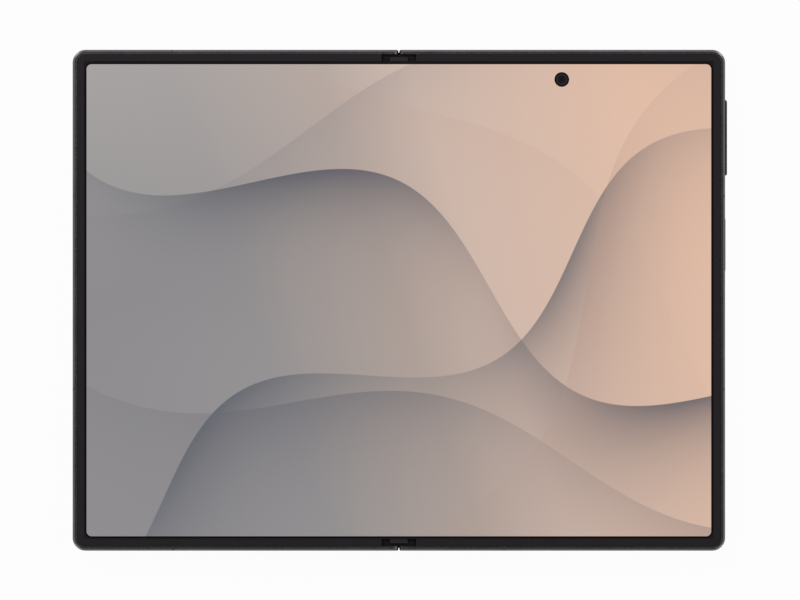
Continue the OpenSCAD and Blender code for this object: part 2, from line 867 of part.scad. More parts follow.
module gear_outline(n, turn) {
    rp = gear_m * n / 2;
    rb = rp * cos(pressure);
    root = rp - dedendum;
    tip = rp + addendum;
    start = max(root, rb);
    half = 90 / n - tooth_play / 2 / rp * 180 / PI;
    radii = [for (i = [0:4]) start + (tip - start) * i / 4];
    side = [for (r = radii) [r, flank_deg(r, rb, half)]];
    foot = root < start - eps / 10 ? [[root, side[0][1]]] : [];
    right = concat(foot, side);
    polygon([
        for (k = [0:n - 1])
            for (i = [0:2 * len(right) - 1])
                let (p = i < len(right) ? right[i] : right[2 * len(right) - 1 - i],
                     a = turn + k * 360 / n + (i < len(right) ? -p[1] : p[1]))
                    p[0] * [cos(a), sin(a)]
    ]);
}

// A wing: a flange under the mid plate, two curved rails and a sector gear, for side 0 or 1
module hinge_wing(side) {
    gap_angle = mesh_angle + 180 - tooth_off[side] * idler_n / sector_n;
    inner = sqrt(pow(arc_ro, 2) - pow(wing_t + wing_drop, 2)) + 0.02;
    difference() {
        union() {
            rounded_box([flange_x, flange_y[0], z_wing],
                        [flange_w, flange_y[1] - flange_y[0], wing_t], 0.6);
            for (y = arm_ys) {
                translate([axis_x + inner, y, z_wing])
                    cube([flange_x - axis_x - inner + 0.8, arm_l, wing_t]);
                along_y(y, y + arm_l) translate([axis_x, z_axis]) arc_outline();
            }
            along_y(gear_y, gear_y + gear_w) {
                translate([axis_x, z_wing]) square([flange_x - axis_x + 0.8, wing_t]);
                translate([axis_x, z_axis]) difference() {
                    gear_outline(sector_n, gap_angle + 180 / sector_n);
                    translate([-3, z_block - z_axis]) square([6, 3]);
                    translate([0.5, -wing_drop]) square([3, 3]);
                }
            }
        }
        for (y = wing_screws_y) translate([flange_x + flange_w / 2, y, z_wing - 1])
            cylinder(r = screw_r + bond, h = wing_t + 2);
    }
}

// Curved rail about the fold axis, from under the axis to beside it
module arc_outline() {
    far = arc_ro + 1;
    intersection() {
        difference() {
            circle(arc_ro);
            circle(arc_ri);
        }
        polygon([[0, 0], far * [cos(-125), sin(-125)], [0, -2 * far], 2 * far * [cos(-45), sin(-45)],
                 2 * far * [cos(-15), sin(-15)]]);
    }
}

module hinge_wings_main() {
    color("#777a80") both_ends() hinge_wing(0);
}

module hinge_wings_cover() {
    color("#777a80") cover_side() both_ends() hinge_wing(1);
}

wing_points = [for (s = [-1, 1], y = wing_screws_y) [flange_x + flange_w / 2, s * y]];

module wing_screws_main() {
    color(color_metal) screws(wing_points, z_wing, z_deck - z_wing + 0.2);
}

module wing_screws_cover() {
    color(color_metal) cover_side() screws(wing_points, z_wing, z_deck - z_wing + 0.2);
}

// An idler gear with its journals, at +X
module idlers(turn) {
    both_ends() {
        along_y(gear_y - 0.1, gear_y + gear_w + 0.1) translate([idler_r, z_idler])
            gear_outline(idler_n, turn);
        bar_y(idler_r, z_idler, journal_r, journal_ys[0] + 0.1, journal_ys[1] - 0.1);
    }
}

module idler_gears_main() {
    color(color_gold) idlers(idler_turns[0]);
}

module idler_gears_cover() {
    color(color_gold) cover_side() idlers(idler_turns[1]);
}

// Caps that close the ends of the spine beside the bezels
module hinge_end_caps() {
    color("#1b1b1d") both_ends() {
        along_y(cap_y, spine_h) {
            between(0, z_plate) spine_outline(base_r);
            between(z_rim + bond, z_plate) spine_outline(spine_r);
        }
        // Pad that the shut screens rest on
        translate([-cap_pad[0] / 2, cap_y, z_plate - eps])
            cube([cap_pad[0], cap_pad[1], z_top - pad_drop - z_plate]);
    }
}

module hinge_flex_cables() {
    reach = board_x + 2;
    color("#8a5a26") for (s = [-1, 1])
        translate([-reach, s > 0 ? flex_y[0] : -flex_y[1], flex_z])
            cube([2 * reach, flex_y[1] - flex_y[0], 0.1]);
}

// ---- Inside the main half ----

module cell(x0, x1, y0, y1, z0) {
    t = z_deck - bond - z0;
    rounded_box([x0, y0, z0], [x1 - x0, y1 - y0, t], 1.2);
    // Sealed edge with the two tabs
    rounded_box([x0 + 2, y1 - 1.2, z0 + t * 0.4], [x1 - x0 - 4, 3.2, 0.5], 0.5);
}

module battery_main() {
    color("#2e2f33") cell(cell_x, edge_x - 3, strip_y, strip_y + battery_h, cell_z);
}

module board_outline_main() {
    polygon([
        [board_x, board_y], [edge_x - 2.5, board_y], [edge_x - 2.5, island_y - island_l / 2 - 1],
        [notch_x, island_y - island_l / 2 - 1], [notch_x, edge_y], [board_x, edge_y]
    ]);
}

module logic_board() {
    color(color_board) difference() {
        union() {
            translate([0, 0, z_board]) linear_extrude(board_t) board_outline_main();
            // Connector for the cable that crosses the hinge
            translate([board_x + 0.2, flex_y[0] + 1, z_board + board_t - eps])
                cube([1.6, flex_y[1] - flex_y[0] - 2, 0.1 + eps]);
        }
        for (p = main_posts) translate([p[0], p[1], z_board - 1]) cylinder(r = screw_r + bond, h = 3);
    }
}

module shield_cans() {
    h = z_board - z_seat - 0.35;
    x0 = board_x + 5;
    w = (notch_x - x0 - 3) / 2;
    color(color_metal) for (i = [0, 1])
        rounded_box([x0 + i * (w + 2), board_y + 1.5, z_board - h], [w, edge_y - board_y - 9, h], 0.8);
}

module board_screws_main() {
    color(color_metal) screws(concat(main_posts, port_posts), z_board, board_t + board_gap + 0.2);
}

// Coil and its shield, between the battery and the back glass
module charging_coil() {
    cx = (cell_x + edge_x - 3) / 2;
    cy = strip_y + battery_h / 2;
    shield_r = [8, 22];
    shield_t = 0.12;
    turn_w = 1.6;
    turn_pitch = 2.4;
    color("#b4713d") translate([cx, cy, z_seat + bond]) {
        difference() {
            cylinder(r = shield_r[1], h = shield_t);
            translate([0, 0, -1]) cylinder(r = shield_r[0], h = 3);
        }
        translate([0, 0, shield_t - eps])
            for (r = [shield_r[0] + 1.5:turn_pitch:shield_r[1] - 2]) difference() {
                cylinder(r = r + turn_w, h = 0.1 + eps);
                translate([0, 0, -1]) cylinder(r = r, h = 3);
            }
    }
}

module usb_port() {
    y0 = -half_h + wall_u + bond;
    color(color_metal) {
        along_y(y0, y0 + usb_l) translate([port_x, z_port]) difference() {
            pill_wide(port_w + 2 * usb_wall, port_h + 2 * usb_wall);
            pill_wide(port_w, port_h);
        }
        along_y(y0 + usb_l - 1.2, y0 + usb_l) translate([port_x, z_port])
            pill_wide(port_w + usb_wall, port_h + usb_wall);
        // Tongue
        translate([port_x - tongue[0] / 2, y0 + 1, z_port - tongue[1] / 2])
            cube([tongue[0], usb_l - 1.5, tongue[1]]);
    }
}

module port_board() {
    y0 = -half_h + cavity_u + 0.3;
    notch = port_w / 2 + usb_wall + 0.15;
    color(color_board) difference() {
        translate([port_x - port_board_w / 2, y0, z_board]) cube([port_board_w, strip_y - 1 - y0, board_t]);
        translate([port_x - notch, y0 - 1, z_board - 1])
            cube([2 * notch, -half_h + wall_u + usb_l + 0.15 - y0 + 1, 3]);
        for (p = port_posts) translate([p[0], p[1], z_board - 1]) cylinder(r = screw_r + bond, h = 3);
    }
}

module loudspeaker() {
    speaker_w = speaker_edges[1] - speaker_edges[0];
    y0 = -half_h + cavity_u + 0.2;
    color("#1c1c1f") difference() {
        rounded_box([speaker_edges[0], y0, cell_z],
                    [speaker_w, strip_y - 1 - y0, z_deck - bond - cell_z], 1);
        translate([speaker_x, y0 - 1, z_port]) rotate([-90, 0, 0])
            linear_extrude(2) pill_wide(speaker_n * hole_pitch, 2 * hole_r);
        translate([speaker_x, y0 + 5, cell_z - 1]) linear_extrude(1.2) rounded(speaker_w - 5, 5.5, 1.5);
    }
}

module haptic_motor() {
    motor_w = port_x - port_board_w / 2 - 3.3 - board_x;
    y0 = -half_h + cavity_u + 0.6;
    color("#9a9ca0") {
        rounded_box([board_x, y0, cell_z], [motor_w, 7.5, z_deck - bond - cell_z], 0.8);
        rounded_box([board_x - 0.6, y0 + 1.5, cell_z + 0.6], [motor_w + 1.2, 4.5, 0.8], 0.5);
    }
}

// Strip with three switches behind the keys
module key_flex() {
    y0 = side_y - side_l / 2 + 1;
    color("#8a5a26") {
        translate([key_rib_x + 0.5 + bond / 2, y0, z_port - 0.6])
            cube([0.12, volume_y + volume_l / 2 - 1 - y0, 1.2]);
        for (y = [side_y, volume_y - 6, volume_y + 6])
            translate([key_rib_x + 0.5 + bond / 2 + 0.12 - eps, y, z_port]) rotate([0, 90, 0])
                cylinder(r = 0.55, h = 0.15);
    }
}

// ---- Inside the cover half ----

module cover_panel() {
    x0 = wall_x + wall_t + 0.6;
    color("#0e0e12") cover_side() difference() {
        half_plate(cavity_u, x0, z_seat, panel_t);
        translate([cam2_x, cam2_y, z_seat - 1]) cylinder(r = cover_hole_r, h = 3);
    }
}

module cover_camera() {
    color("#141416") cover_side() translate([cam2_x, cam2_y, 0]) {
        translate([0, 0, panel_top]) linear_extrude(z_deck - bond - panel_top)
            rounded(front_camera_w, front_camera_w, 0.6);
        translate([0, 0, z_seat + bond]) difference() {
            cylinder(r = cover_hole_r - 0.1, h = panel_t + eps);
            translate([0, 0, -eps]) cylinder(r1 = 1.1, r2 = 0.5, h = 0.6);
        }
    }
}

module battery_cover() {
    color("#2e2f33") cover_side() cell(cell_x, edge_x - 2, cover_cell_y[0], cover_cell_y[1], panel_top);
}

module sub_board() {
    y0 = -half_h + cavity_u + 0.3;
    y1 = strip_y + 16.5;
    ears = tray_slot_w / 2 + 0.9;
    color(color_board) cover_side() difference() {
        union() {
            translate([0, 0, z_board]) linear_extrude(board_t) polygon([
                [board_x, y0], [edge_x - 1, y0], [edge_x - 1, y1], [cell_x - 1.2, y1],
                [cell_x - 1.2, flex_y[1] + 2], [board_x, flex_y[1] + 2]
            ]);
            for (s = [-1, 1]) translate([board_x + 0.2, s > 0 ? flex_y[0] + 1 : -flex_y[1] + 1,
                                         z_board + board_t - eps])
                cube([1.6, flex_y[1] - flex_y[0] - 2, 0.1 + eps]);
        }
        translate([tray_x - ears, y0 - 1, z_board - 1]) cube([2 * ears, tray_l + 2.4, 3]);
        for (p = cover_posts) translate([p[0], p[1], z_board - 1]) cylinder(r = screw_r + bond, h = 3);
    }
}

module board_screws_cover() {
    color(color_metal) cover_side() screws(cover_posts, z_board, board_t + board_gap + 0.2);
}

module earpiece_speaker() {
    color("#1c1c1f") cover_side() difference() {
        rounded_box([ear_x - ear_size[0] / 2, edge_y - 0.2 - ear_size[1], panel_top],
            [ear_size[0], ear_size[1], z_deck - bond - panel_top], 0.8);
        translate([ear_x, edge_y + 1, z_port]) rotate([90, 0, 0])
            linear_extrude(3) pill_wide(ear_n * hole_pitch, 2 * hole_r);
    }
}

// Sheet-metal socket that the card tray slides in, with its ejector lever
module card_socket() {
    y0 = -half_h + wall_u + 0.2;
    w = tray_w + 0.4;
    h = tray_h + 0.5;
    t = 0.2;
    color(color_metal) cover_side() {
        difference() {
            translate([tray_x - w / 2 - t, y0, z_tray - h / 2 - t]) cube([w + 2 * t, tray_l, h + 2 * t]);
            translate([tray_x - w / 2, y0 - 1, z_tray - h / 2]) cube([w, tray_l + 1 - t, h]);
            for (x = [-2.6, 2.6]) translate([tray_x + x, y0 + tray_l / 2, z_tray])
                linear_extrude(3) rounded(2.4, 8, 0.5);
        }
        translate([tray_x + w / 2 + t + 0.15, y0 + 0.6, z_tray - 0.4]) cube([0.7, tray_l - 1.5, 0.8]);
        translate([tray_x + w / 2 + t - eps, y0 + tray_l / 2, z_tray - 0.3]) cube([0.3, 1, 0.6]);
    }
}

// ---- Moving pieces of the edges ----

// Key with chamfered ends, a slab that fills the slot and a foot inside the rail
module key(y, l, proud) {
    foot_l = l * 0.62;
    foot_t = 0.3;
    edge = 0.15;
    back = key_travel + 0.15;
    color(color_frame) translate([0, y, z_port]) {
        translate([half_w - wall_u - back, 0, 0]) rotate([0, 90, 0])
            linear_extrude(wall_u + back + proud - edge) pill(key_h, l - 2 * key_gap);
        translate([half_w + proud - edge - eps, 0, 0]) rotate([0, 90, 0])
            linear_extrude(edge + eps) pill(key_h - 2 * edge, l - 2 * key_gap - 2 * edge);
        translate([half_w - wall_u - back - foot_t, -foot_l / 2, foot_t - key_h / 2])
            cube([foot_t + eps, foot_l, key_h - 2 * foot_t]);
    }
}

module volume_key() {
    key(volume_y, volume_l, volume_proud);
}

module side_key() {
    key(side_y, side_l, side_proud);
}

module card_tray() {
    y0 = -half_h;
    body_l = tray_l - 0.8;
    seat_l = body_l - 4;
    color(color_frame) cover_side() difference() {
        union() {
            along_y(y0, y0 + tray_head_t) translate([tray_x, z_tray]) pill_wide(tray_slot_w, tray_head_h);
            translate([tray_x - tray_w / 2, y0 + tray_head_t - eps, z_tray - tray_h / 2])
                cube([tray_w, body_l, tray_h]);
        }
        // Seat of the card
        translate([tray_x, y0 + 3 + seat_l / 2, z_tray - 0.1])
            linear_extrude(1) rounded(tray_w - 1.4, seat_l, 0.5);
        // Ejector hole
        translate([tray_x + tray_slot_w / 2 - 1.2, y0 + 2, z_tray]) rotate([90, 0, 0])
            cylinder(r = eject_r, h = 4);
    }
}

main_frame();
main_back_glass();
camera_island();
camera_lens_rings();
camera_lens_glasses();
flash_lens();
rear_camera_modules();
main_bezel();
display_main();
display_plate_main();
inner_camera();
inner_camera_glass();
battery_main();
logic_board();
shield_cans();
board_screws_main();
charging_coil();
usb_port();
port_board();
loudspeaker();
haptic_motor();
antenna_bands_main();
hinge_wings_main();
wing_screws_main();
key_flex();
cover_frame();
cover_glass();
cover_panel();
cover_bezel();
display_cover();
display_plate_cover();
cover_camera();
battery_cover();
sub_board();
board_screws_cover();
earpiece_speaker();
antenna_bands_cover();
hinge_wings_cover();
wing_screws_cover();
card_socket();
spine_shell();
hinge_bases();
hinge_end_caps();
base_screws();
display_fold();
lattice_plate();
hinge_flex_cables();
idler_gears_main();
idler_gears_cover();
volume_key();
side_key();
card_tray();
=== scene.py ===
"""Looks of the open folding phone: its display as a bending sheet, finishes, light and camera."""
import math
from collections import namedtuple

import bmesh
import bpy
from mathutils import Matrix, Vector


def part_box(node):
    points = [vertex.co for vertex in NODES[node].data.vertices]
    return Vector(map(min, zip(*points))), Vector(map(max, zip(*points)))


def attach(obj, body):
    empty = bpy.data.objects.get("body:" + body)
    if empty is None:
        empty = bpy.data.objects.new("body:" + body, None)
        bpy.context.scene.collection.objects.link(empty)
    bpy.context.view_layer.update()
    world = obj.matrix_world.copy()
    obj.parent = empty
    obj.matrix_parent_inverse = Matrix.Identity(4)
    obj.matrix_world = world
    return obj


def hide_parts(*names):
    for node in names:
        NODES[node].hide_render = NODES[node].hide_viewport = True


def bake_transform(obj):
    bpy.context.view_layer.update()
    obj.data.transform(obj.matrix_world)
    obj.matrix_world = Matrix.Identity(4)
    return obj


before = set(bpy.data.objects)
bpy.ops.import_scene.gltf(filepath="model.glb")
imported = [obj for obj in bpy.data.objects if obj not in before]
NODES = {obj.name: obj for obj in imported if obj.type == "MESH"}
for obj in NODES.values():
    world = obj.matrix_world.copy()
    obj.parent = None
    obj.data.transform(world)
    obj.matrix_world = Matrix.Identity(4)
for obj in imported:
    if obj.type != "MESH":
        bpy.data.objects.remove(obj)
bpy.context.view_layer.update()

# Lengths are typed in millimetres, and times MM become the metres of the frame, unless a comment says metres.
MM = 0.001


def add_object(name, data):
    o = bpy.data.objects.new(name, data)
    bpy.context.scene.collection.objects.link(o)
    return o


# ---------------------------------------------------------------- camera
# The photograph is 800 px wide at 4.042 px to the millimetre, and was taken squarely from a distance.
PHOTO_W = 800
PX_PER_MM = 4.042
VIEW_MIDDLE = (0.28, 0.06, 6)   # the point of the display in the middle of the photograph
CAMERA_HEIGHT = 1.2             # metres above that point
SENSOR_W = 36


def make_camera():
    cam = add_object("camera", bpy.data.cameras.new("camera"))
    cam.data.sensor_width = SENSOR_W
    cam.data.lens = SENSOR_W * CAMERA_HEIGHT / (PHOTO_W / PX_PER_MM * MM)
    x, y, z = VIEW_MIDDLE
    cam.location = (x * MM, y * MM, z * MM + CAMERA_HEIGHT)
    cam.data.clip_start, cam.data.clip_end = 0.01, 20
    bpy.context.scene.camera = cam


# ---------------------------------------------------------------- node graphs
def linear(rgb):
    """An sRGB colour, 0 to 255, as the linear RGBA that sockets take."""
    parts = [c / 255 for c in rgb]
    return tuple(c / 12.92 if c <= 10 / 255 else ((c + 0.055) / 1.055) ** 2.4 for c in parts) + (1,)


class Graph:
    """A node tree with short ways to add to it. A value is an output socket or a plain number or colour."""

    def __init__(self, tree):
        self.tree = tree

    def node(self, kind, **values):
        n = self.tree.nodes.new(kind)
        for key, value in values.items():
            setattr(n, key, value)
        return n

    def feed(self, socket, value):
        if isinstance(value, bpy.types.NodeSocket):
            self.tree.links.new(value, socket)
        else:
            socket.default_value = value

    def math(self, op, *values):
        n = self.node("ShaderNodeMath", operation=op)
        for socket, value in zip(n.inputs, values):
            self.feed(socket, value)
        return n.outputs[0]

    def length(self, x, y):
        return self.math("SQRT", self.math("ADD", self.math("MULTIPLY", x, x), self.math("MULTIPLY", y, y)))

    def axes(self, vector):
        split = self.node("ShaderNodeSeparateXYZ")
        self.feed(split.inputs[0], vector)
        return split.outputs

    def mix(self, share, low, high):
        """Colour `low` where share is 0 and `high` where it is 1."""
        n = self.node("ShaderNodeMix", data_type="RGBA")
        for i, value in ((0, share), (6, low), (7, high)):
            self.feed(n.inputs[i], value)
        return n.outputs[2]

    def mix_shader(self, share, low, high):
        n = self.node("ShaderNodeMixShader")
        for socket, value in zip(n.inputs, (share, low, high)):
            self.feed(socket, value)
        return n.outputs[0]


LEAST_ROUGH = 0.02


class Mat(Graph):
    """A principled material with procedural detail. Socket names are given with _ for their spaces."""

    def __init__(self, name, rgb, rough, metal=0.0, **sockets):
        self.mat = bpy.data.materials.new(name)
        self.mat.use_nodes = True
        super().__init__(self.mat.node_tree)
        self.bsdf = next(n for n in self.tree.nodes if n.type == "BSDF_PRINCIPLED")
        self.rgb = rgb
        self.rough = rough
        self.coord = None
        self.set("Base_Color", linear(rgb))
        self.set("Roughness", rough)
        self.set("Metallic", metal)
        for key, value in sockets.items():
            self.set(key, value)

    def set(self, key, value):
        self.feed(self.bsdf.inputs[key.replace("_", " ")], value)

    def place(self, stretch=(1, 1, 1)):
        if self.coord is None:
            self.coord = self.node("ShaderNodeTexCoord").outputs["Object"]
        if stretch == (1, 1, 1):
            return self.coord
        m = self.node("ShaderNodeMapping")
        self.feed(m.inputs["Scale"], stretch)
        self.feed(m.inputs["Vector"], self.coord)
        return m.outputs["Vector"]

    def noise(self, scale, detail=2.0, stretch=(1, 1, 1)):
        """Noise whose features are `scale` millimetres across."""
        n = self.node("ShaderNodeTexNoise")
        self.feed(n.inputs["Scale"], 1 / (scale * MM))
        self.feed(n.inputs["Detail"], detail)
        self.feed(n.inputs["Vector"], self.place(stretch))
        return n.outputs["Fac"]

    def spread(self, value, low, high, from_low=0.35, from_high=0.65):
        """`low` up to from_low, `high` from from_high on, and even between them."""
        r = self.node("ShaderNodeMapRange")
        for key, number in (("From Min", from_low), ("From Max", from_high), ("To Min", low), ("To Max", high)):
            self.feed(r.inputs[key], number)
        self.feed(r.inputs["Value"], value)
        return r.outputs["Result"]

    def tones(self, value, stops):
        """A colour ramp with stops of (place, sRGB colour)."""
        ramp = self.node("ShaderNodeValToRGB")
        while len(ramp.color_ramp.elements) < len(stops):
            ramp.color_ramp.elements.new(0.5)
        for e, (at, rgb) in zip(ramp.color_ramp.elements, stops):
            e.position, e.color = at, linear(rgb)
        self.feed(ramp.inputs["Fac"], value)
        return ramp.outputs["Color"]

    def around(self, node):
        """Distance along X, along Y and straight from the middle of a node, seen from above, in metres."""
        here = self.axes(self.place())
        lo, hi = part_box(node)
        dx = self.math("SUBTRACT", here["X"], (lo.x + hi.x) / 2)
        dy = self.math("SUBTRACT", here["Y"], (lo.y + hi.y) / 2)
        return dx, dy, self.length(dx, dy)

    def from_core(self, x, y, half_w, half_h, r):
        """Distance from the core of a rounded rectangle: r on its outline, and less inside it."""
        px = self.math("MAXIMUM", self.math("SUBTRACT", self.math("ABSOLUTE", x), half_w - r), 0)
        py = self.math("MAXIMUM", self.math("SUBTRACT", self.math("ABSOLUTE", y), half_h - r), 0)
        return self.length(px, py)

    def vary(self, scale, amount, stretch=(1, 1, 1)):
        """Slow drift of the base colour, by `amount` parts of its own brightness."""
        lo = tuple(c * (1 - amount) for c in self.rgb)
        hi = tuple(min(255, c * (1 + amount)) for c in self.rgb)
        self.set("Base_Color", self.tones(self.noise(scale, 3.0, stretch), [(0.3, lo), (0.7, hi)]))

    def rough_by(self, scale, amount, stretch=(1, 1, 1)):
        """Roughness that drifts by `amount` either way."""
        f = self.noise(scale, 3.0, stretch)
        self.set("Roughness", self.spread(f, max(LEAST_ROUGH, self.rough - amount), self.rough + amount))

    def bump(self, height, depth, strength):
        b = self.node("ShaderNodeBump")
        self.feed(b.inputs["Distance"], depth * MM)
        self.feed(b.inputs["Strength"], strength)
        self.feed(b.inputs["Height"], height)
        self.set("Normal", b.outputs["Normal"])


# ---------------------------------------------------------------- kinds of finish
def anodised(name, rgb, rough=0.36):
    """Bead-blasted and anodised aluminium."""
    m = Mat(name, rgb, rough, metal=1.0)
    m.vary(scale=9, amount=0.04)
    m.rough_by(scale=0.5, amount=0.05)
    m.bump(m.noise(scale=0.09), depth=0.0015, strength=0.5)
    return m


def steel(name, rgb, rough):
    """Metal with a fine brushed grain that runs along Y."""
    brush = (1, 0.03, 1)
    m = Mat(name, rgb, rough, metal=1.0)
    m.vary(scale=2.5, amount=0.06, stretch=brush)
    m.rough_by(scale=0.4, amount=0.06, stretch=brush)
    m.bump(m.noise(scale=0.12, detail=3, stretch=brush), depth=0.002, strength=0.4)
    return m


def plastic(name, rgb, rough, grain=0.12, shine=0.5):
    """Moulded plastic with a fine texture, `grain` millimetres across."""
    m = Mat(name, rgb, rough, Specular_IOR_Level=shine)
    m.vary(scale=6, amount=0.05)
    m.rough_by(scale=0.7, amount=0.06)
    m.bump(m.noise(scale=grain), depth=0.002, strength=0.35)
    return m


# ---------------------------------------------------------------- the folding display
SCREEN_Z = (6.10, 6.60)     # underside and face of the display
SCREEN_R = 1.4              # its outer corners
CAP_NOTCH = (4.3, 59.05)    # nearer the fold than this X it ends at this Y, to clear the end caps
CAMERA_HOLE = (40.3, 54.6, 1.83)    # middle and radius
ARC_STEPS = 10
HOLE_STEPS = 72

PICTURE = (77.23, 58.36, 1.25)  # half width, half height and corner radius of the lit picture
PICTURE_SOFT = 0.05             # half the width of its soft edge
BLACK_LINE = (0.36, 0.42)       # this far outside it, the black line round it goes over to the printed rim
BLACK = (2, 2, 2)
# the black line and the printed rim glow faintly in this colour: a painted glow that lifts their black, as they are no
# lamp
PAINTED_BORDER_GLOW = (8, 7, 8)
BEZEL = (38, 34, 37)

UV_SPAN = 200.0     # millimetres covered by the flat map of the display
GROUND = [(0.0, (144, 142, 145)), (0.26, (150, 147, 148)), (0.5, (178, 163, 155)),
          (0.64, (208, 184, 171)), (1.0, (228, 191, 168))]  # the backdrop's tones, from left to right
GROUND_SPAN = 156   # millimetres from its first tone to its last
GROUND_SLANT = 0.34     # a millimetre up counts as this much to the right
PALE = (196, 190, 186)  # towards the top the cool side goes over to this tone
PALE_SHARE = 0.42       # by this much at PALE_Y
PALE_Y = 58

# Each swell of the backdrop is a wavy crest with a shade below it. The crest runs at `angle` degrees,
# `offset` from the middle, with waves `swing` high and `length` long. The shade takes the ground
# towards `tone` by `depth` at the crest, and dies away over about `fade`.
Swell = namedtuple("Swell", "angle offset swing length phase fade depth tone")
SWELLS = [
    Swell(16, 47, 9, 150, 0.4, 13, 0.24, (112, 112, 122)),
    Swell(-24, 12, 15, 128, 2.2, 15, 0.90, (78, 85, 97)),
    Swell(31, -12, 13, 118, 4.0, 12, 0.78, (84, 90, 101)),
    Swell(-12, -30, 9, 140, 0.9, 17, 0.52, (104, 104, 112)),
    Swell(52, -34, 15, 170, 5.1, 22, 0.30, (178, 148, 134)),
    Swell(-40, 40, 12, 160, 1.0, 20, 0.16, (190, 158, 144)),
]
CREST_SOFT = 0.1        # half the width of a crest's soft edge
RIPPLE_LENGTH = 0.83    # the shade waxes and wanes along a crest, in waves of this part of the crest's own length
RIPPLE_PHASE = 1.1      # and this far ahead of them,
RIPPLE_LEAST = 0.35     # down to this part of its depth


def swell_over(m, colour, x, y, swell):
    """`colour` with the shade of one swell on it."""
    c, s = math.cos(math.radians(swell.angle)), math.sin(math.radians(swell.angle))
    along = m.math("MULTIPLY_ADD", x, c, m.math("MULTIPLY", y, s))
    across = m.math("MULTIPLY_ADD", y, c, m.math("MULTIPLY", x, -s))
    wave = m.math("SINE", m.math("MULTIPLY_ADD", along, 2 * math.pi / swell.length, swell.phase))
    crest = m.math("MULTIPLY_ADD", wave, swell.swing, swell.offset)
    below = m.math("SUBTRACT", across, crest)
    edge = m.spread(below, 1, 0, -CREST_SOFT, CREST_SOFT)
    fall = m.math("POWER", math.e, m.math("MULTIPLY", m.math("MINIMUM", below, 0), 1 / swell.fade))
    turn = 2 * math.pi / (swell.length * RIPPLE_LENGTH)
    ripple = m.math("SINE", m.math("MULTIPLY_ADD", along, turn, swell.phase + RIPPLE_PHASE))
    ripple = m.spread(ripple, RIPPLE_LEAST, 1, -1, 1)
    shade = m.math("MULTIPLY", m.math("MULTIPLY", edge, fall), m.math("MULTIPLY", ripple, swell.depth))
    return m.mix(shade, colour, linear(swell.tone))


def backdrop(m, x, y):
    """A plain made-up picture: long translucent swells on a ground that warms from grey to peach."""
    slanted = m.math("MULTIPLY_ADD", y, GROUND_SLANT, x)
    warm = m.math("MULTIPLY_ADD", slanted, 1 / GROUND_SPAN, 0.5)
    colour = m.tones(warm, GROUND)
    pale = m.math("MULTIPLY", m.spread(y, 0, PALE_SHARE, 0, PALE_Y), m.math("SUBTRACT", 1, warm))
    colour = m.mix(pale, colour, linear(PALE))
    for swell in SWELLS:
        colour = swell_over(m, colour, x, y, swell)
    return colour


def display_glass():
    """The lit picture, the black line round it and the printed rim outside that; the line and the rim have a faint
    painted glow.
    """
    m = Mat("folding_display", BLACK, 0.1, Specular_IOR_Level=0.14)
    flat = m.axes(m.node("ShaderNodeUVMap", uv_map="flat").outputs["UV"])
    x, y = [m.math("MULTIPLY_ADD", flat[axis], UV_SPAN, -UV_SPAN / 2) for axis in "XY"]
    r = PICTURE[2]
    away = m.from_core(x, y, *PICTURE)
    lit = m.spread(away, 1, 0, r - PICTURE_SOFT, r + PICTURE_SOFT)
    # outside the picture, the black line and the rim get a faint painted glow
    m.set("Emission_Color", m.mix(lit, linear(PAINTED_BORDER_GLOW), backdrop(m, x, y)))
    m.set("Emission_Strength", 1.0)
    rim = m.spread(away, 0, 1, r + BLACK_LINE[0], r + BLACK_LINE[1])
    m.set("Base_Color", m.tones(rim, [(0, BLACK), (1, BEZEL)]))
    return m


def add_piece(name, bm, material):
    mesh = bpy.data.meshes.new(name)
    bm.to_mesh(mesh)
    bm.free()
    mesh.materials.append(material.mat)
    return add_object(name, mesh)


def everything(bm):
    return bm.verts[:] + bm.edges[:] + bm.faces[:]


def cross_lines(bm, side, pitch, count):
    """Cut lines across a sheet, `pitch` apart from the middle outwards, so that it can bend."""
    for i in range(1, count + 1):
        at = side * i * pitch * MM
        bmesh.ops.bisect_plane(bm, geom=everything(bm), plane_co=(at, 0, 0), plane_no=(1, 0, 0))


def sheet_half(name, node, side, material):
    """One half of a soft node that bends at the fold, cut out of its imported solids."""
    bm = bmesh.new()
    bm.from_mesh(NODES[node].data)
    bmesh.ops.remove_doubles(bm, verts=bm.verts, dist=1e-7)
    cut = bmesh.ops.bisect_plane(bm, geom=everything(bm), plane_co=(0, 0, 0), plane_no=(-side, 0, 0), clear_outer=True)
    edges = [e for e in cut["geom_cut"] if isinstance(e, bmesh.types.BMEdge)]
    bmesh.ops.holes_fill(bm, edges=edges, sides=0)
    cross_lines(bm, side, pitch=0.4, count=13)
    o = add_piece(name, bm, material)
    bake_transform(o)
    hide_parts(node)


def screen_outline():
    """Outline of the right half of the display, in metres, from the lower end of the fold to the upper."""
    edge_x, edge_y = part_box("display_main")[1].xy
    notch_x, notch_y = [v * MM for v in CAP_NOTCH]
    r = SCREEN_R * MM
    arc = [math.radians(i * 90 / ARC_STEPS) for i in range(ARC_STEPS + 1)]
    low_corner = [(edge_x - r + r * math.sin(a), -edge_y + r - r * math.cos(a)) for a in arc]
    high_corner = [(edge_x - r + r * math.cos(a), edge_y - r + r * math.sin(a)) for a in arc]
    return [(0, -notch_y), (notch_x, -notch_y), (notch_x, -edge_y), *low_corner,
            *high_corner, (notch_x, edge_y), (notch_x, notch_y), (0, notch_y)]


def add_loop(bm, points):
    """A closed loop of edges through points on the display's face, in metres."""
    verts = [bm.verts.new((x, y, SCREEN_Z[1] * MM)) for x, y in points]
    return [bm.edges.new(pair) for pair in zip(verts, verts[1:] + verts[:1])]


def sort_by_place(seq, place):
    """Put vertices or faces in order, because an extrude leaves them in another order each run."""
    order = {e: i for i, e in enumerate(sorted(seq, key=place))}
    seq.sort(key=order.get)


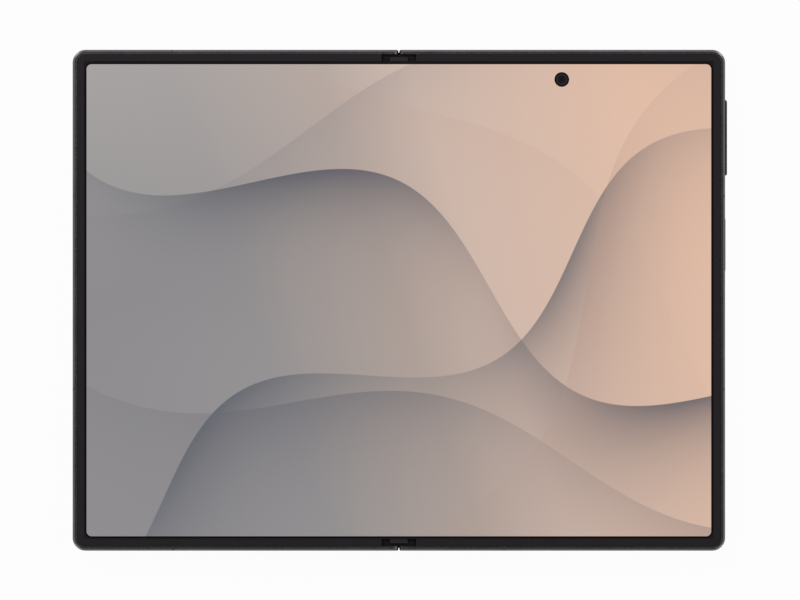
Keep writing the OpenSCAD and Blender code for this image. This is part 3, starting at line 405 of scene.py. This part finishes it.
def screen_half(name, side, material, hole):
    """The display of one half as one clean sheet: rounded corners, the notches for the caps and the camera hole."""
    bm = bmesh.new()
    edges = add_loop(bm, [(side * x, y) for x, y in screen_outline()])
    if hole:
        hx, hy, r = hole
        turn = [2 * math.pi * i / HOLE_STEPS for i in range(HOLE_STEPS)]
        edges += add_loop(bm, [((hx + r * math.cos(a)) * MM, (hy + r * math.sin(a)) * MM) for a in turn])
    bmesh.ops.triangle_fill(bm, use_beauty=True, use_dissolve=False, edges=edges, normal=(0, 0, 1))
    cross_lines(bm, side, pitch=0.25, count=17)
    bmesh.ops.recalc_face_normals(bm, faces=bm.faces)
    if bm.faces[0].normal.z < 0:
        bmesh.ops.reverse_faces(bm, faces=bm.faces)
    grown = bmesh.ops.extrude_face_region(bm, geom=bm.faces[:])
    under = [v for v in grown["geom"] if isinstance(v, bmesh.types.BMVert)]
    bmesh.ops.translate(bm, verts=under, vec=(0, 0, -(SCREEN_Z[1] - SCREEN_Z[0]) * MM))
    bmesh.ops.recalc_face_normals(bm, faces=bm.faces)
    uv = bm.loops.layers.uv.new("flat")
    for f in bm.faces:
        for corner in f.loops:
            corner[uv].uv = [v / (UV_SPAN * MM) + 0.5 for v in corner.vert.co.xy]
    sort_by_place(bm.verts, lambda v: v.co.to_tuple(7))
    sort_by_place(bm.faces, lambda f: f.calc_center_median().to_tuple(7))
    o = add_piece(name, bm, material)
    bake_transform(o)
    return o


def make_display():
    glass = display_glass()
    a = screen_half("screen_main", 1, glass, CAMERA_HOLE)
    b = screen_half("screen_cover", -1, glass, None)
    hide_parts("display_main", "display_fold")
    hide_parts("display_cover", "display_fold")
    lattice = steel("slit_plate", (150, 149, 147), 0.32)
    ribbon = plastic("flex_cable", (150, 96, 40), 0.42)
    for side, body, word in ((1, "main_half", "main"), (-1, "cover_half", "cover")):
        sheet_half("slit_plate_" + word, "lattice_plate", side, lattice)
        sheet_half("flex_ribbons_" + word, "hinge_flex_cables", side, ribbon)


# ---------------------------------------------------------------- the rear cameras
LATHE_STEPS = 64
DOME_STEPS = 8
MASK_R, MASK_Z = (3.1, 4.6), (1.37, 1.47)   # the black mask behind a lens glass
TRIM_R, TRIM_Z = (2.62, 3.0), (1.4, 1.48)   # the metal trim inside it
ELEMENT_R, ELEMENT_Z = 1.9, (2.12, 1.6)     # the front element, whose rim lies deeper in the phone than its pole


def ring_section(radii, heights):
    (r_in, r_out), (z_low, z_high) = radii, heights
    return [(r_in, z_high), (r_in, z_low), (r_out, z_low), (r_out, z_high), (r_in, z_high)]


def dome_section(radius, heights):
    """Section of a lens element, from its rim to its pole."""
    z_rim, z_pole = heights
    arc = [math.pi / 2 * i / DOME_STEPS for i in range(DOME_STEPS)]
    return [(radius * math.cos(a), z_rim + (z_pole - z_rim) * math.sin(a)) for a in arc] + [(0, z_pole)]


def lathe(name, section, place, material, body):
    """A turned piece about Z: its section is a list of (radius, height), from one end to the other."""
    bm = bmesh.new()
    turn = [2 * math.pi * i / LATHE_STEPS for i in range(LATHE_STEPS)]
    rings = []
    for r, z in section:
        if r == 0:
            rings.append([bm.verts.new((place[0] * MM, place[1] * MM, z * MM))] * LATHE_STEPS)
        else:
            rings.append([bm.verts.new(((place[0] + r * math.cos(a)) * MM, (place[1] + r * math.sin(a)) * MM, z * MM))
                          for a in turn])
    for a, b in zip(rings, rings[1:]):
        for i in range(LATHE_STEPS):
            j = (i + 1) % LATHE_STEPS
            corners = list(dict.fromkeys((a[i], a[j], b[j], b[i])))     # three of them at a pole
            bm.faces.new(corners)
    bmesh.ops.recalc_face_normals(bm, faces=bm.faces)
    o = add_piece(name, bm, material)
    for f in o.data.polygons:
        f.use_smooth = True
    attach(o, body)


def make_cameras():
    coating = Mat("coated_lens", (16, 20, 44), 0.04, Coat_Weight=1.0, Coat_Roughness=0.02,
                  Coat_Tint=(0.55, 0.62, 1.0, 1.0))
    sheen = coating.noise(scale=2.5, detail=1)
    coating.set("Base_Color", coating.tones(sheen, [(0.35, (30, 44, 120)), (0.65, (86, 46, 112))]))
    mask = plastic("lens_mask", (7, 7, 8), 0.3)
    trim = steel("lens_trim", (120, 118, 120), 0.28)
    lo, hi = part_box("camera_lens_rings")
    x = (lo.x + hi.x) / 2 / MM
    reach = (hi.x - lo.x) / 2 / MM
    for word, y in (("low", lo.y / MM + reach), ("high", hi.y / MM - reach)):
        lathe("lens_mask_" + word, ring_section(MASK_R, MASK_Z), (x, y), mask, "main_half")
        lathe("lens_trim_" + word, ring_section(TRIM_R, TRIM_Z), (x, y), trim, "main_half")
        lathe("lens_element_" + word, dome_section(ELEMENT_R, ELEMENT_Z), (x, y), coating, "main_half")


# ---------------------------------------------------------------- finishes of the CAD nodes
def dress(mat, *names):
    for name in names:
        slots = NODES[name].data.materials
        slots.clear()
        slots.append(mat.mat)


def back_glass():
    m = Mat("frosted_back_glass", (52, 51, 55), 0.34, Coat_Weight=0.3, Coat_Roughness=0.2)
    m.vary(scale=14, amount=0.05)
    m.rough_by(scale=0.8, amount=0.05)
    m.bump(m.noise(scale=0.07), depth=0.003, strength=0.4)
    return m


def lens_glass():
    m = Mat("lens_glass", (168, 170, 177), 0.0, Transmission_Weight=1.0, IOR=1.45)
    m.vary(scale=20, amount=0.01)
    return m


def flash_lens():
    """Pale diffuser with fine concentric rings."""
    m = Mat("flash_diffuser", (236, 224, 186), 0.3)
    away = m.around("flash_lens")[2]
    ring_pitch, radius = 0.3, 1.6
    m.bump(m.math("SINE", m.math("MULTIPLY", away, 2 * math.pi / (ring_pitch * MM))), depth=0.03, strength=0.8)
    m.set("Base_Color", m.tones(m.spread(away, 0, 1, 0, radius * MM), [
        (0.0, (250, 226, 130)), (0.4, (240, 222, 160)), (0.7, (236, 226, 196)), (1.0, (206, 200, 180))]))
    return m


def outer_screen():
    """Black glass of the outer screen, with the dark panel inside its matt border and the camera behind its hole."""
    m = Mat("outer_screen_glass", (5, 5, 6), 0.05)
    lo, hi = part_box("cover_panel")
    panel_r, soft = 2.2 * MM, 0.05 * MM
    dx, dy, _ = m.around("cover_panel")
    corner = m.from_core(dx, dy, (hi.x - lo.x) / 2, (hi.y - lo.y) / 2, panel_r)
    lit = m.spread(corner, 1, 0, panel_r - soft, panel_r + soft)
    colour = m.mix(lit, linear((3, 3, 3)), linear((12, 12, 15)))
    away = m.around("cover_camera")[2]
    rings_r, hole_r = 2.5 * MM, 2.1 * MM
    rings = m.tones(m.spread(away, 0, 1, 0, rings_r), [
        (0.0, (14, 18, 34)), (0.14, (22, 28, 52)), (0.2, (6, 6, 8)), (0.36, (5, 5, 6)),
        (0.4, (34, 34, 38)), (0.46, (8, 8, 9)), (0.8, (3, 3, 4)), (0.86, (2, 2, 3))])
    in_hole = m.spread(away, 1, 0, hole_r - soft, hole_r + soft)
    m.set("Base_Color", m.mix(in_hole, colour, rings))
    m.rough_by(scale=30, amount=0.01)
    return m


def punch_hole():
    """Dark window over the inner camera: a printed ring, the barrel's fine steps and the coated lens in the middle."""
    m = Mat("punch_hole_window", (14, 13, 15), 0.06, Specular_IOR_Level=0.3)
    lo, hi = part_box("inner_camera_glass")
    away = m.around("inner_camera_glass")[2]
    m.set("Base_Color", m.tones(m.spread(away, 0, 1, 0, (hi.x - lo.x) / 2), [
        (0.0, (36, 37, 48)), (0.16, (12, 12, 18)), (0.3, (44, 39, 43)), (0.42, (22, 19, 22)),
        (0.6, (56, 50, 54)), (0.78, (52, 46, 50)), (0.86, (10, 9, 10)), (1.0, (8, 7, 8))]))
    m.rough_by(scale=1.5, amount=0.01)
    return m


def end_caps():
    """The pads that the shut screens rest on, at the caps' tops, are paler."""
    cap_tone, pad_tone = (26, 23, 26), (49, 45, 48)
    pad_z = (6.1, 6.4)
    m = plastic("cap_plastic", cap_tone, 0.6, grain=0.1, shine=0.2)
    pad = m.spread(m.axes(m.place())["Z"], 0, 1, pad_z[0] * MM, pad_z[1] * MM)
    m.set("Base_Color", m.tones(pad, [(0, cap_tone), (1, pad_tone)]))
    return m


def outer_panel():
    m = Mat("outer_panel", (7, 7, 9), 0.25)
    m.vary(scale=0.4, amount=0.1)
    return m


def make_materials():
    dress(anodised("graphite_frame", (100, 97, 100)), "main_frame", "cover_frame")
    dress(steel("hinge_spine_metal", (92, 90, 93), 0.24), "spine_shell")
    dress(anodised("key_metal", (100, 96, 99), 0.3), "volume_key", "side_key", "card_tray")
    dress(back_glass(), "main_back_glass")
    dress(anodised("island_metal", (72, 71, 74), 0.3), "camera_island")
    dress(steel("lens_ring_metal", (104, 102, 104), 0.2), "camera_lens_rings")
    dress(lens_glass(), "camera_lens_glasses")
    dress(punch_hole(), "inner_camera_glass")
    dress(outer_screen(), "cover_glass")
    dress(outer_panel(), "cover_panel")
    dress(flash_lens(), "flash_lens")
    dress(plastic("camera_black", (14, 14, 16), 0.35), "rear_camera_modules", "inner_camera", "cover_camera")
    dress(plastic("bezel_plastic", BEZEL, 0.6, grain=0.1, shine=0.22), "main_bezel", "cover_bezel")
    dress(end_caps(), "hinge_end_caps")
    dress(steel("display_plate", (140, 139, 137), 0.35), "display_plate_main", "display_plate_cover")
    dress(plastic("battery_wrap", (40, 41, 44), 0.4), "battery_main", "battery_cover")
    dress(plastic("board_mask", (20, 40, 34), 0.4), "logic_board", "port_board", "sub_board")
    dress(steel("can_steel", (176, 174, 170), 0.35), "shield_cans")
    dress(steel("screw_steel", (168, 166, 163), 0.3), "board_screws_main", "board_screws_cover",
          "wing_screws_main", "wing_screws_cover", "base_screws")
    dress(steel("coil_copper", (205, 128, 84), 0.35), "charging_coil")
    dress(steel("port_metal", (126, 125, 126), 0.32), "usb_port")
    dress(plastic("speaker_black", (24, 24, 26), 0.5), "loudspeaker", "earpiece_speaker")
    dress(steel("motor_steel", (160, 158, 155), 0.35), "haptic_motor")
    dress(plastic("antenna_plastic", (58, 56, 58), 0.5), "antenna_bands_main", "antenna_bands_cover")
    dress(steel("hinge_steel", (150, 148, 146), 0.3), "hinge_wings_main", "hinge_wings_cover", "hinge_bases")
    dress(steel("gear_brass", (196, 160, 96), 0.3), "idler_gears_main", "idler_gears_cover")
    dress(plastic("key_ribbon", (150, 96, 40), 0.42), "key_flex")
    dress(steel("socket_steel", (160, 158, 156), 0.35), "card_socket")


# ---------------------------------------------------------------- studio
HORIZON = 0.5           # strength of the soft studio level with the phone,
HORIZON_TILT = 0.42     # this much more behind it and less in front,
POLE = 0.27             # and straight overhead and below:
POLE_TILT = 0.17        # this much less overhead and more below
POLE_FALL = 0.6         # power of the way from the horizon to a pole
GLOSSY_WHITE = 0.4      # how much of the white background metal shows at the horizon, over the soft studio

FLOOR_Z = -0.2
FLOOR_R = 2.5           # metres
FLOOR_DULL = 0.04       # how much of the seen floor takes the shadow
UNDER_PHONE = (("X", 0.084), ("Y", 0.065))  # half width and half height, in metres, of the part under the phone

LAMP_TARGET = Vector((0, 0, 0))
# name, place, size and power of each lamp, in metres and watts
LAMPS = [
    ("key", (-0.45, 0.6, 0.85), (0.7, 0.7), 4.5),
    ("fill", (0.8, 0.0, 0.7), (0.6, 0.6), 1.7),
    ("under", (-0.4, 0.5, -0.8), (0.8, 0.8), 4.0),
    ("under_fill", (0.7, -0.4, -0.6), (0.6, 0.6), 1.6),
    # these give the corners of the chamfer their glints
    ("glint_back_right", (0.75, 0.75, 0.06), (0.4, 0.12), 2.0),
    ("glint_back_left", (-0.75, 0.75, 0.06), (0.4, 0.12), 2.0),
    ("glint_front_right", (0.75, -0.75, 0.06), (0.4, 0.12), 0.8),
    ("glint_front_left", (-0.75, -0.75, 0.06), (0.4, 0.12), 0.8),
]


def make_world():
    """A soft studio, with white shown straight to the camera and through glass, and in part to metal."""
    world = bpy.data.worlds.new("studio")
    bpy.context.scene.world = world
    world.use_nodes = True
    g = Graph(world.node_tree)
    g.tree.nodes.clear()
    way = g.axes(g.node("ShaderNodeTexCoord").outputs["Generated"])
    horizon = g.math("MULTIPLY_ADD", way["Y"], HORIZON_TILT, HORIZON)
    pole = g.math("MULTIPLY_ADD", way["Z"], -POLE_TILT, POLE)
    up = g.math("ABSOLUTE", way["Z"])
    level = g.math("MULTIPLY_ADD", g.math("SUBTRACT", pole, horizon), g.math("POWER", up, POLE_FALL), horizon)
    soft, white = g.node("ShaderNodeBackground"), g.node("ShaderNodeBackground")
    for n in (soft, white):
        g.feed(n.inputs["Color"], (1, 1, 1, 1))
    g.feed(soft.inputs["Strength"], level)
    ray = g.node("ShaderNodeLightPath").outputs
    glossy = g.math("MULTIPLY", ray["Is Glossy Ray"], g.math("MULTIPLY", g.math("SUBTRACT", 1, up), GLOSSY_WHITE))
    shown = g.math("MAXIMUM", g.math("MAXIMUM", ray["Is Camera Ray"], ray["Is Transmission Ray"]), glossy)
    out = g.node("ShaderNodeOutputWorld")
    g.feed(out.inputs["Surface"], g.mix_shader(shown, soft.outputs[0], white.outputs[0]))


def make_floor():
    """White with the phone's shadow to the camera, white in reflections, and clear from below.
    Under the phone reflections pass through it."""
    bm = bmesh.new()
    bmesh.ops.create_circle(bm, cap_ends=True, segments=96, radius=FLOOR_R)
    mesh = bpy.data.meshes.new("floor")
    bm.to_mesh(mesh)
    bm.free()
    floor = add_object("floor", mesh)
    floor.location.z = FLOOR_Z * MM
    mat = bpy.data.materials.new("floor_white")
    mat.use_nodes = True
    g = Graph(mat.node_tree)
    g.tree.nodes.clear()
    ray = g.node("ShaderNodeLightPath").outputs
    glow = g.node("ShaderNodeEmission").outputs[0]
    clear = g.node("ShaderNodeBsdfTransparent").outputs[0]
    dull = g.node("ShaderNodeBsdfDiffuse")
    g.feed(dull.inputs["Color"], (0.95, 0.95, 0.95, 1))
    here = g.axes(g.node("ShaderNodeTexCoord").outputs["Object"])
    far_x, far_y = [g.math("GREATER_THAN", g.math("ABSOLUTE", here[axis]), reach) for axis, reach in UNDER_PHONE]
    reflected = g.math("MAXIMUM", ray["Is Glossy Ray"], ray["Is Transmission Ray"])
    reflected = g.math("MULTIPLY", reflected, g.math("MAXIMUM", far_x, far_y))
    shade = g.mix_shader(reflected, clear, glow)
    shade = g.mix_shader(ray["Is Camera Ray"], shade, g.mix_shader(FLOOR_DULL, glow, dull.outputs[0]))
    below = g.node("ShaderNodeNewGeometry").outputs["Backfacing"]
    out = g.node("ShaderNodeOutputMaterial")
    g.feed(out.inputs["Surface"], g.mix_shader(below, shade, clear))
    mesh.materials.append(mat)


def make_lights():
    for name, place, size, power in LAMPS:
        data = bpy.data.lights.new(name, "AREA")
        data.shape, data.size, data.size_y = "RECTANGLE", size[0], size[1]
        data.energy = power
        lamp = add_object(name, data)
        lamp.location = place
        lamp.rotation_mode = "QUATERNION"
        lamp.rotation_quaternion = (LAMP_TARGET - Vector(place)).to_track_quat("-Z", "Y")


make_camera()
make_world()
make_floor()
make_lights()
make_materials()
make_display()
make_cameras()
bpy.context.scene.view_settings.view_transform = "Standard"
